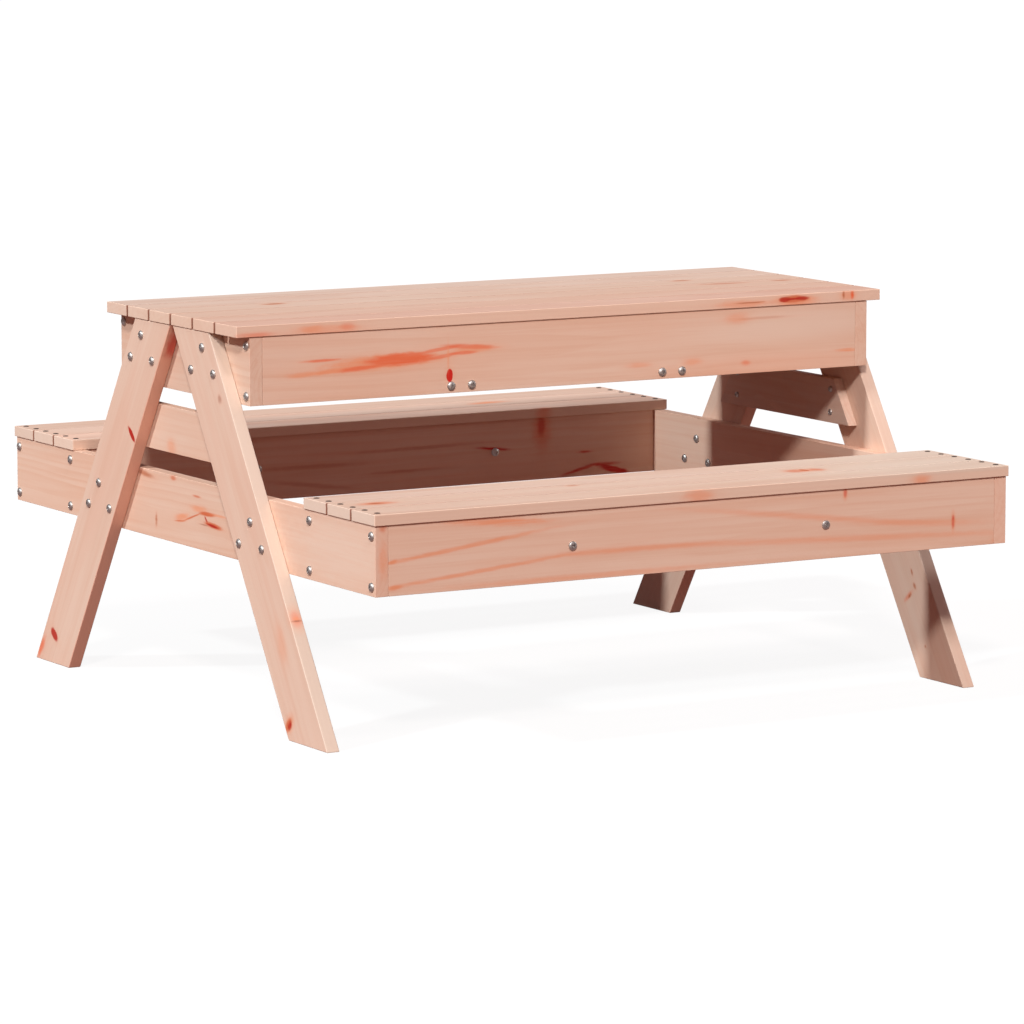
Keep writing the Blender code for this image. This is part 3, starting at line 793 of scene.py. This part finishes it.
def wood_piece(node, mesh, middle, axes, lengths, stock, body):
    """Puts a board in a node's place, with its grain coordinates, its material and its body."""
    along, across, through = axes
    cut = cut_of(node)
    shift = Random(node + " shift").uniform(*LOG_SHIFTS)
    board_places = []
    log_places = []
    for vertex in mesh.vertices:
        place = Vector((vertex.co.dot(along), vertex.co.dot(across), vertex.co.dot(through)))
        board_places.append(place)
        log_places.append((
            place.x + shift,
            place.y + cut.across + place.x * cut.drift_across,
            place.z + cut.through + place.x * cut.drift_through,
        ))
    write_places(mesh, "board_place", board_places)
    write_places(mesh, "log_place", log_places)
    turned = Matrix((along, across, through))
    marks = [mark._replace(at=turned @ (Vector(mark.at) - middle)) for mark in MARKS[node]]
    # painted light and shade on the narrow faces come before the board's own marks
    marks = painted_edge_light_and_shade(node, stock, lengths) + marks
    if through.z == 0:
        marks += stray_marks(node, lengths)
    mesh.materials.append(wood_material(node, stock, marks, cut.pitch))
    mesh.shade_smooth()
    piece = add_object(f"{node}_wood", mesh)
    piece.location = middle
    smooth = piece.modifiers.new("flat_faces", "WEIGHTED_NORMAL")
    smooth.weight = FLAT_FACE_WEIGHT
    smooth.keep_sharp = False
    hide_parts(node)
    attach(piece, body)


def rounded_block(name, size, radius, reshape=None):
    """A block with round edges. Reshape moves its corners before they are rounded."""
    shape = bmesh.new()
    bmesh.ops.create_cube(shape, size=1.0, matrix=Matrix.Diagonal((*size, 1.0)))
    if reshape:
        for vertex in shape.verts:
            vertex.co = reshape(vertex.co)
    bmesh.ops.bevel(
        shape,
        geom=shape.edges[:],
        offset=radius,
        offset_type="OFFSET",
        segments=EDGE_STEPS,
        profile=0.5,
        affect="EDGES",
    )
    return mesh_of(shape, name)


def limits(node):
    """The middle and the size of a CAD node."""
    low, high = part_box(node)
    return (low + high) / 2, high - low


def square_piece(node, mesh, middle, size, stock, body="table"):
    """Puts a board that is square to the axes in a node's place."""
    wood_piece(node, mesh, middle, long_axes(size), sorted(size, reverse=True), stock, body)


def make_board(node, stock, body):
    """A straight board."""
    middle, size = limits(node)
    square_piece(node, rounded_block(node, size, EDGE_RADII[stock]), middle, size, stock, body)


def make_leg(node, seat_side):
    """A leaning leg, cut level at both ends, with its grain along the lean."""
    middle, size = limits(node)
    level_width = size.y - size.z * tan(LEG_LEAN)

    def lean(corner):
        return Vector((corner.x, corner.y - seat_side * corner.z * tan(LEG_LEAN), corner.z))

    mesh = rounded_block(node, (size.x, level_width, size.z), EDGE_RADII["leg_wood"], lean)
    along = Vector((0.0, -seat_side * sin(LEG_LEAN), cos(LEG_LEAN)))
    across = Vector((0.0, cos(LEG_LEAN), seat_side * sin(LEG_LEAN)))
    axes = (along, across, Vector((1.0, 0.0, 0.0)))
    lengths = (size.z / cos(LEG_LEAN), level_width * cos(LEG_LEAN), size.x)
    wood_piece(node, mesh, middle, axes, lengths, "leg_wood", "table")


def make_brace(node):
    """A short board whose ends follow the legs' lean."""
    middle, size = limits(node)
    narrowing = 1 - 2 * size.z * tan(LEG_LEAN) / size.y

    def taper(corner):
        return Vector((corner.x, corner.y * (narrowing if corner.z > 0 else 1.0), corner.z))

    mesh = rounded_block(node, size, EDGE_RADII["board_wood"], taper)
    square_piece(node, mesh, middle, size, "board_wood")


def make_wood():
    """Every board of the CAD."""
    for node in sorted(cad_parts):
        body = "lid" if node.startswith("lid_") else "table"
        if node.startswith(("leg_bolt", "brace_screw")):
            continue
        if "_slat_" in node:
            make_board(node, "slat_wood", body)
        elif node.startswith("leg_brace"):
            make_brace(node)
        elif node.startswith("leg_"):
            make_leg(node, SEATS[node.split("_")[2]])
        else:
            make_board(node, "plywood" if node == "sandbox_floor" else "board_wood", body)


def cross_cutter(kind):
    """A cross that narrows downwards, to be cut out of a head that stands on Z = 0."""
    levels = []
    for way, part in ((1, CUTTER_TOP), (-1, CUTTER_BOTTOM)):
        height = kind.height + way * kind.depth
        reach = kind.reach * part
        half = kind.slot / 2
        corners = []
        for quarter in range(4):
            turn = Matrix.Rotation(quarter * pi / 2, 3, "Z")
            for x, y in ((reach, -half), (reach, half), (half, half)):
                corners.append(turn @ Vector((x, y, height)))
        levels.append(corners)
    shape = bmesh.new()
    top, bottom = ([shape.verts.new(corner) for corner in corners] for corners in levels)
    shape.faces.new(top)
    shape.faces.new(reversed(bottom))
    for index in range(len(top)):
        before = index - 1
        shape.faces.new((top[before], bottom[before], bottom[index], top[index]))
    bmesh.ops.recalc_face_normals(shape, faces=shape.faces[:])
    return mesh_of(shape, "cross")


def round_head(kind):
    """A domed head on Z = 0, turned around the Z axis."""
    shape = bmesh.new()
    profile = [shape.verts.new((kind.radius, 0.0, 0.0))]
    for step in range(DOME_STEPS + 1):
        angle = step * pi / 2 / DOME_STEPS
        rise = kind.rim + (kind.height - kind.rim) * sin(angle)
        profile.append(shape.verts.new((kind.radius * cos(angle), 0.0, rise)))
    edges = [shape.edges.new(pair) for pair in zip(profile, profile[1:])]
    bmesh.ops.spin(
        shape,
        geom=profile + edges,
        cent=(0.0, 0.0, 0.0),
        axis=(0.0, 0.0, 1.0),
        angle=2 * pi,
        steps=HEAD_STEPS,
    )
    bmesh.ops.remove_doubles(shape, verts=shape.verts[:], dist=SAME_PLACE)
    bmesh.ops.holes_fill(shape, edges=[edge for edge in shape.edges if edge.is_boundary])
    bmesh.ops.recalc_face_normals(shape, faces=shape.faces[:])
    return mesh_of(shape, "head")


def crossed_head(kind):
    """The head's mesh with the cross cut into it."""
    head = add_object("head", round_head(kind))
    cutter = add_object("cutter", cross_cutter(kind))
    cut = head.modifiers.new("cross", "BOOLEAN")
    cut.object = cutter
    cut.solver = "EXACT"
    evaluated = head.evaluated_get(bpy.context.evaluated_depsgraph_get())
    mesh = bpy.data.meshes.new_from_object(evaluated)
    for thing in (head, cutter):
        bpy.data.objects.remove(thing)
    shape = bmesh.new()
    shape.from_mesh(mesh)
    bmesh.ops.remove_doubles(shape, verts=shape.verts[:], dist=SAME_PLACE)
    shape.to_mesh(mesh)
    shape.free()
    return mesh


def make_shank(kind):
    """A round shank of length 1 below Z = 0."""
    shape = bmesh.new()
    bmesh.ops.create_cone(
        shape,
        cap_ends=True,
        segments=SHANK_STEPS,
        radius1=kind.shank,
        radius2=kind.shank,
        depth=1.0,
        matrix=Matrix.Translation((0.0, 0.0, -0.5)),
    )
    return mesh_of(shape, "shank")


HEADS = {kind: crossed_head(kind) for kind in (PAN_HEAD, LOW_HEAD, BRACE_HEAD, SLAT_HEAD)}
SHANKS = {kind: make_shank(kind) for kind in HEADS}


def fasteners(name, places, outward, kind=PAN_HEAD, body="table", replaced=(), through=0.0):
    """Screws with their heads at the places, or bolts that go through to a second head, as one piece."""
    draw = Random(name)
    outward = Vector(outward)
    turned = outward.to_track_quat("Z", "Y").to_matrix().to_4x4()
    back = Matrix.Rotation(pi, 4, "X")
    shape = bmesh.new()

    def add(mesh, matrix):
        first = len(shape.verts)
        shape.from_mesh(mesh)
        shape.verts.ensure_lookup_table()
        bmesh.ops.transform(shape, matrix=matrix, verts=shape.verts[first:])

    for place in places:
        stand = Matrix.Translation(place) @ turned
        length = through or kind.length
        add(SHANKS[kind], stand @ Matrix.Diagonal((1.0, 1.0, length, 1.0)))
        add(HEADS[kind], stand @ Matrix.Rotation(draw.uniform(0, pi), 4, "Z"))
        if through:
            far = Matrix.Translation((0.0, 0.0, -through)) @ back
            add(HEADS[kind], stand @ far @ Matrix.Rotation(draw.uniform(0, pi), 4, "Z"))
    mesh = mesh_of(shape, name)
    mesh.materials.clear()
    # slat screws get the dark zinc, painted shade of their holes
    mesh.materials.append(SHADE_DARK_ZINC if kind is SLAT_HEAD else ZINC)
    mesh.shade_smooth()
    mesh.set_sharp_from_angle(angle=SHARP_ANGLE)
    piece = add_object(name, mesh)
    if replaced:
        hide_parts(*replaced)
    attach(piece, body)


def bolt_triangle(face, seat_side, middle):
    """The three places of a crossing's bolts on a face across X."""
    across, height = middle
    offsets = ((-BOLT_TRIANGLE, 0.0), (BOLT_TRIANGLE, 0.0), (0.0, BOLT_TRIANGLE))
    return [(face, seat_side * across + aside, height + up) for aside, up in offsets]


def make_trestle_fasteners(end, end_side):
    """Bolts through the legs and the end boards behind them, and the brace's screws."""
    outer_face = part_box(f"leg_{end}_front")[end_side > 0].x
    inner_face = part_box(f"seat_end_board_{end}")[end_side < 0].x
    brace_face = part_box(f"leg_brace_{end}")[end_side < 0].x
    through = abs(outer_face - inner_face)
    outward = (end_side, 0.0, 0.0)
    for seat, seat_side in SEATS.items():
        bolts = [f"leg_bolt_{end}_{seat}_{place}" for place in ("top", "inner", "outer")]
        upper = bolt_triangle(outer_face, seat_side, UPPER_BOLTS)
        fasteners(f"upper_bolts_{end}_{seat}", upper, outward, replaced=bolts, through=through)
        lower = bolt_triangle(outer_face, seat_side, LOWER_BOLTS)
        fasteners(f"lower_bolts_{end}_{seat}", lower, outward, through=through)
    places = [
        (brace_face, side * BRACE_SCREW_ACROSS, height)
        for side in SEATS.values()
        for height in BRACE_SCREW_HEIGHTS
    ]
    screws = [f"brace_screw_{end}_{seat}_{place}" for seat in SEATS for place in ("lower", "upper")]
    inward = (-end_side, 0.0, 0.0)
    fasteners(f"brace_screws_{end}", places, inward, BRACE_HEAD, replaced=screws)


def make_corner_screws(end, end_side):
    """Screws through the end boards into the ends of the long boards."""
    outward = (end_side, 0.0, 0.0)
    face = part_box(f"sandbox_end_board_{end}")[end_side > 0].x
    across = [limits(f"sandbox_{seat}_board")[0].y for seat in SEATS]
    places = [(face, y, height) for y in across for height in SANDBOX_CORNER_HEIGHTS]
    fasteners(f"sandbox_screws_{end}", places, outward)
    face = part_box(f"seat_end_board_{end}")[end_side > 0].x
    boards = [f"{seat}_seat_{row}_board" for seat in SEATS for row in ("outer", "inner")]
    across = [limits(board)[0].y for board in boards]
    places = [(face, y, height) for y in across for height in SEAT_CORNER_HEIGHTS]
    fasteners(f"seat_frame_screws_{end}", places, outward)


def nodes_named(start):
    """The CAD's nodes whose names start so, in order."""
    return [node for node in sorted(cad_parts) if node.startswith(start)]


def make_cross_screws(seat, seat_side):
    """Screws through the long boards into the floor battens and the seats' cross boards."""
    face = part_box(f"sandbox_{seat}_board")[seat_side > 0].y
    battens = [limits(f"sandbox_floor_batten_{end}")[0].x for end in ENDS]
    spread = (-BATTEN_SCREW_SPREAD, BATTEN_SCREW_SPREAD)
    places = [(x + aside, face, BATTEN_SCREW_HEIGHT) for x in battens for aside in spread]
    fasteners(f"floor_batten_screws_{seat}", places, (0.0, seat_side, 0.0))
    cross_boards = [limits(f"{seat}_seat_cross_board_{end}")[0].x for end in ENDS]
    for row, outward, kind in (("outer", seat_side, LOW_HEAD), ("inner", -seat_side, PAN_HEAD)):
        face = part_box(f"{seat}_seat_{row}_board")[outward > 0].y
        places = [(x, face, CROSS_SCREW_HEIGHT) for x in cross_boards]
        fasteners(f"cross_board_screws_{seat}_{row}", places, (0.0, outward, 0.0), kind)


def make_slat_screws():
    """Screws down into the seats' end boards, and up through the lid's battens into its slats."""
    for seat in SEATS:
        for end in ENDS:
            x = limits(f"seat_end_board_{end}")[0].x
            places = []
            for slat in nodes_named(f"{seat}_seat_slat"):
                y = limits(slat)[0].y
                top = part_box(slat)[1].z
                places += [(x, y + side * SLAT_SCREW_SPREAD, top) for side in (-1, 1)]
            fasteners(f"slat_screws_{seat}_{end}", places, (0.0, 0.0, 1.0), SLAT_HEAD)
    for batten in nodes_named("lid_batten"):
        low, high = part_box(batten)
        places = []
        for slat in nodes_named("lid_slat"):
            slat_low, slat_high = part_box(slat)
            start, end = max(low.y, slat_low.y), min(high.y, slat_high.y)
            for part in LID_SCREW_PARTS:
                places.append(((low.x + high.x) / 2, start + (end - start) * part, low.z))
        fasteners(f"screws_{batten}", places, (0.0, 0.0, -1.0), SLAT_HEAD, "lid")


def make_floor_screws():
    """Screws down through the sandbox's floor into its battens."""
    low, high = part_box("sandbox_floor")
    places = []
    for end in ENDS:
        x = limits(f"sandbox_floor_batten_{end}")[0].x
        for number in range(FLOOR_SCREWS):
            part = (number + 0.5) / FLOOR_SCREWS
            places.append((x, low.y + (high.y - low.y) * part, high.z))
    fasteners("floor_screws", places, (0.0, 0.0, 1.0), SLAT_HEAD)


def make_fasteners():
    """Every screw and bolt."""
    for end, end_side in ENDS.items():
        make_trestle_fasteners(end, end_side)
        make_corner_screws(end, end_side)
    for seat, seat_side in SEATS.items():
        make_cross_screws(seat, seat_side)
    make_slat_screws()
    make_floor_screws()


def make_camera():
    """The camera of the photograph's view."""
    data = bpy.data.cameras.new("camera")
    data.sensor_width = SENSOR_WIDTH
    data.lens = CAMERA_LENS
    data.clip_end = CAMERA_REACH
    camera = add_object("camera", data)
    camera.location = CAMERA_PLACE
    camera.rotation_euler = (pi / 2 - CAMERA_DIP, 0.0, -CAMERA_HEADING)
    bpy.context.scene.camera = camera


def backdrop_strength(nodes, seen, mirrored, light):
    """How bright the backdrop is for the camera, in mirrors, and as a source of light."""
    path = nodes.add("LightPath").outputs
    strength = nodes.math("MULTIPLY_ADD", path["Is Glossy Ray"], mirrored - light, light)
    inputs = {"Value": path["Is Camera Ray"], "To Min": strength, "To Max": seen}
    return nodes.call("MapRange", inputs)


def make_floor():
    """A wide floor that glows towards the camera and throws its bounce colour at the object."""
    shape = bmesh.new()
    bmesh.ops.create_circle(shape, cap_ends=True, segments=FLOOR_SIDES, radius=FLOOR_RADIUS)
    mesh = mesh_of(shape, "floor")
    material, nodes, shader = new_material("pale_floor")
    material.node_tree.nodes.remove(shader)
    path = nodes.add("LightPath").outputs
    grey = nodes.blend(path["Is Camera Ray"], FLOOR_BOUNCE, FLOOR_GREY)
    diffuse = nodes.call("BsdfDiffuse", {"Color": grey})
    strength = backdrop_strength(nodes, FLOOR_GLOW, MIRRORED_FLOOR, 0.0)
    glow = nodes.call("Emission", {"Strength": strength})
    output = material.node_tree.nodes["Material Output"]
    nodes.join(nodes.call("AddShader", (diffuse, glow)), output.inputs["Surface"])
    mesh.materials.append(material)
    floor = add_object("floor", mesh)


def make_world():
    """A white sky for the camera, which lights the object with its tint."""
    world = bpy.data.worlds.new("studio")
    bpy.context.scene.world = world
    world.use_nodes = True
    nodes = Nodes(world.node_tree)
    background = world.node_tree.nodes["Background"].inputs
    path = nodes.add("LightPath").outputs
    nodes.join(nodes.blend(path["Is Camera Ray"], SKY_TINT, WHITE), background["Color"])
    strength = backdrop_strength(nodes, 1.0, MIRRORED_SKY, SKY_SHARE)
    nodes.join(strength, background["Strength"])


def make_lamps():
    """Suns that stand in for the photograph's lights."""
    for name, lamp in LAMPS.items():
        data = bpy.data.lights.new(name, "SUN")
        data.energy = lamp.share * pi  # pi is full daylight
        data.angle = lamp.width
        data.color = lamp.colour
        light = add_object(name, data)
        toward = Vector((
            sin(lamp.heading) * cos(lamp.elevation),
            -cos(lamp.heading) * cos(lamp.elevation),
            sin(lamp.elevation),
        ))
        light.location = toward * LAMP_DISTANCE
        light.rotation_mode = "QUATERNION"
        light.rotation_quaternion = toward.to_track_quat("Z", "Y")


make_wood()
make_fasteners()
make_camera()
make_floor()
make_world()
make_lamps()

bpy.context.scene.view_settings.view_transform = "Standard"

bpy.context.view_layer.update()
